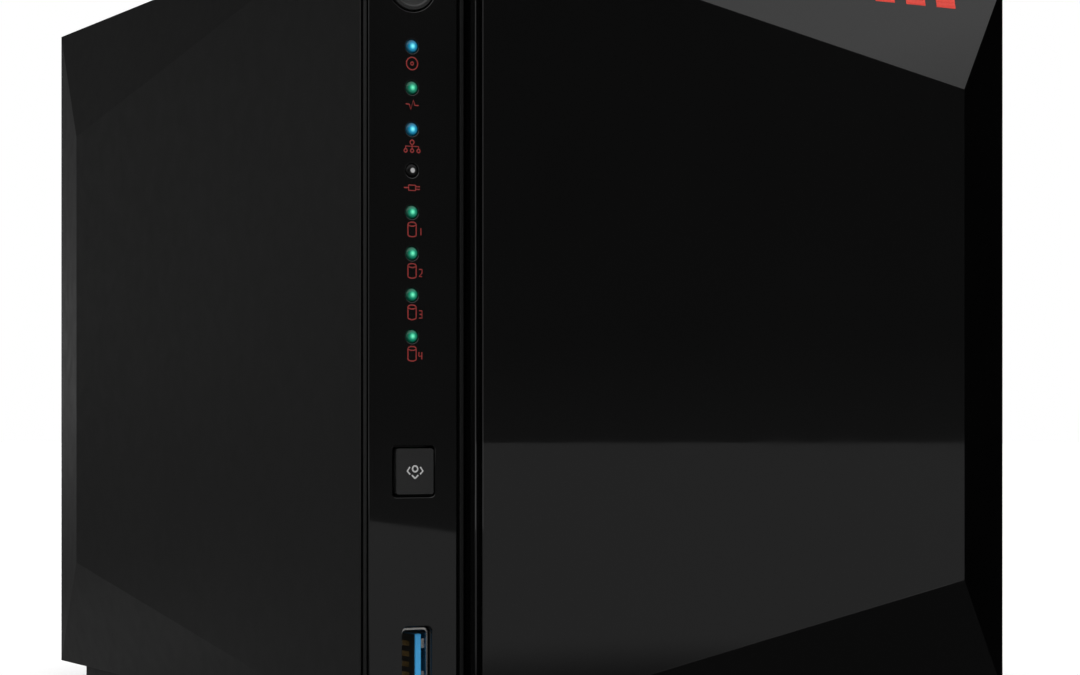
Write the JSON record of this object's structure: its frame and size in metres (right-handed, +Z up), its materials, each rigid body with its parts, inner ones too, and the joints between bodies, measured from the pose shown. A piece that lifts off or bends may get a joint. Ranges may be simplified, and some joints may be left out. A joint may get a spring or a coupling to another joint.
{
  "type": "nas enclosure",
  "caption": "Desktop network storage enclosure with faceted black panels, a status strip, a pull-off glossy front cover and pull-out drive trays.",
  "frame": {"origin": "on the desk plane under the feet, at the middle of the enclosure's width and depth", "axes": "+Z up, -Y out of the front cover, +X to the right seen from the front"},
  "size_m": [0.168, 0.21, 0.175],
  "materials": {
    "side_plastic": "satin black moulded plastic with a fine spark-eroded grain",
    "gloss_plastic": "polished piano-black plastic",
    "button_plastic": "satin black",
    "dark_plastic": "plain black moulded plastic",
    "black_steel": "black powder-coated sheet steel",
    "bare_steel": "galvanised or nickel-plated sheet steel",
    "drive_aluminium": "cast and machined drive body",
    "heat_sink_aluminium": "extruded, plain",
    "circuit_board": "green solder mask",
    "rubber": "matte black",
    "light_guide_plastic": "clear moulded light guide with lit tips",
    "blue_plastic": "blue port insulator",
    "magnet_metal": "nickel-plated magnet"
  },
  "bodies": {
    "chassis": {"base_pan": "bare_steel", "base_plinth": "dark_plastic", "foot_front_left": "rubber", "foot_front_right": "rubber", "foot_rear_left": "rubber", "foot_rear_right": "rubber", "left_side_panel": "side_plastic", "right_side_panel": "side_plastic", "top_cover": "side_plastic", "front_bezel": "dark_plastic", "status_strip": "gloss_plastic", "rear_panel": "black_steel", "cage_left_wall": "bare_steel", "cage_right_wall": "bare_steel", "cage_top_plate": "bare_steel", "cage_bottom_plate": "bare_steel", "backplane_board": "circuit_board", "sata_connector_1": "dark_plastic", "sata_connector_2": "dark_plastic", "sata_connector_3": "dark_plastic", "sata_connector_4": "dark_plastic", "mainboard": "circuit_board", "heat_sink": "heat_sink_aluminium", "lan_socket": "bare_steel", "usb_rear_upper": "bare_steel", "usb_rear_lower": "bare_steel", "dc_inlet": "dark_plastic", "fan_frame": "dark_plastic", "status_board": "circuit_board", "light_guide": "light_guide_plastic", "power_switch": "dark_plastic", "copy_switch": "dark_plastic", "usb_front_shell": "bare_steel", "usb_front_tongue": "blue_plastic", "thumb_screw_left": "bare_steel", "thumb_screw_right": "bare_steel"},
    "front_cover": {"front_cover": "gloss_plastic", "cover_magnet_1": "magnet_metal", "cover_magnet_2": "magnet_metal", "cover_magnet_3": "magnet_metal", "cover_magnet_4": "magnet_metal"},
    "tray_1": {"tray_1": "dark_plastic", "drive_1": "drive_aluminium", "lever_pin_1": "bare_steel"},
    "tray_lever_1": {"tray_lever_1": "dark_plastic"},
    "tray_2": {"tray_2": "dark_plastic", "drive_2": "drive_aluminium", "lever_pin_2": "bare_steel"},
    "tray_lever_2": {"tray_lever_2": "dark_plastic"},
    "tray_3": {"tray_3": "dark_plastic", "drive_3": "drive_aluminium", "lever_pin_3": "bare_steel"},
    "tray_lever_3": {"tray_lever_3": "dark_plastic"},
    "tray_4": {"tray_4": "dark_plastic", "drive_4": "drive_aluminium", "lever_pin_4": "bare_steel"},
    "tray_lever_4": {"tray_lever_4": "dark_plastic"},
    "power_button": {"power_button": "button_plastic"},
    "copy_button": {"copy_button": "button_plastic"},
    "fan_rotor": {"fan_rotor": "dark_plastic"}
  },
  "joints": [
    {"name": "tray_1_slide", "type": "slide", "parent": "chassis", "child": "tray_1", "axis": [0, -1, 0], "range_m": [0, 0.15]},
    {"name": "tray_2_slide", "type": "slide", "parent": "chassis", "child": "tray_2", "axis": [0, -1, 0], "range_m": [0, 0.15]},
    {"name": "tray_3_slide", "type": "slide", "parent": "chassis", "child": "tray_3", "axis": [0, -1, 0], "range_m": [0, 0.15]},
    {"name": "tray_4_slide", "type": "slide", "parent": "chassis", "child": "tray_4", "axis": [0, -1, 0], "range_m": [0, 0.15]},
    {"name": "front_cover_slide", "type": "slide", "parent": "chassis", "child": "front_cover", "axis": [0, -1, 0], "range_m": [0, 0.225]},
    {"name": "tray_1_lever", "type": "hinge", "parent": "tray_1", "child": "tray_lever_1", "pos_m": [-0.0405, -0.0945, 0.035], "axis": [1, 0, 0], "range_deg": [0, 40]},
    {"name": "tray_2_lever", "type": "hinge", "parent": "tray_2", "child": "tray_lever_2", "pos_m": [-0.0075, -0.0945, 0.035], "axis": [1, 0, 0], "range_deg": [0, 40]},
    {"name": "tray_3_lever", "type": "hinge", "parent": "tray_3", "child": "tray_lever_3", "pos_m": [0.0255, -0.0945, 0.035], "axis": [1, 0, 0], "range_deg": [0, 40]},
    {"name": "tray_4_lever", "type": "hinge", "parent": "tray_4", "child": "tray_lever_4", "pos_m": [0.0585, -0.0945, 0.035], "axis": [1, 0, 0], "range_deg": [0, 40]},
    {"name": "power_button_press", "type": "slide", "parent": "chassis", "child": "power_button", "axis": [0, 1, 0], "range_m": [0, 0.001], "stiffness_N_per_m": 500, "springref_m": -0.001},
    {"name": "copy_button_press", "type": "slide", "parent": "chassis", "child": "copy_button", "axis": [0, 1, 0], "range_m": [0, 0.001], "stiffness_N_per_m": 500, "springref_m": -0.001},
    {"name": "fan_spin", "type": "hinge", "parent": "chassis", "child": "fan_rotor", "pos_m": [0.0095, 0.0862, 0.091], "axis": [0, 1, 0], "continuous": true}
  ],
  "couplings": [
    {"joint": "tray_2_slide", "follows": "tray_1_slide", "ratio": 1},
    {"joint": "tray_3_slide", "follows": "tray_1_slide", "ratio": 1},
    {"joint": "tray_4_slide", "follows": "tray_1_slide", "ratio": 1},
    {"joint": "front_cover_slide", "follows": "tray_1_slide", "ratio": 1.5},
    {"joint": "tray_1_lever", "follows": "tray_1_slide", "rad_per_m": 4.6},
    {"joint": "tray_2_lever", "follows": "tray_1_slide", "rad_per_m": 4.6},
    {"joint": "tray_3_lever", "follows": "tray_1_slide", "rad_per_m": 4.6},
    {"joint": "tray_4_lever", "follows": "tray_1_slide", "rad_per_m": 4.6}
  ]
}
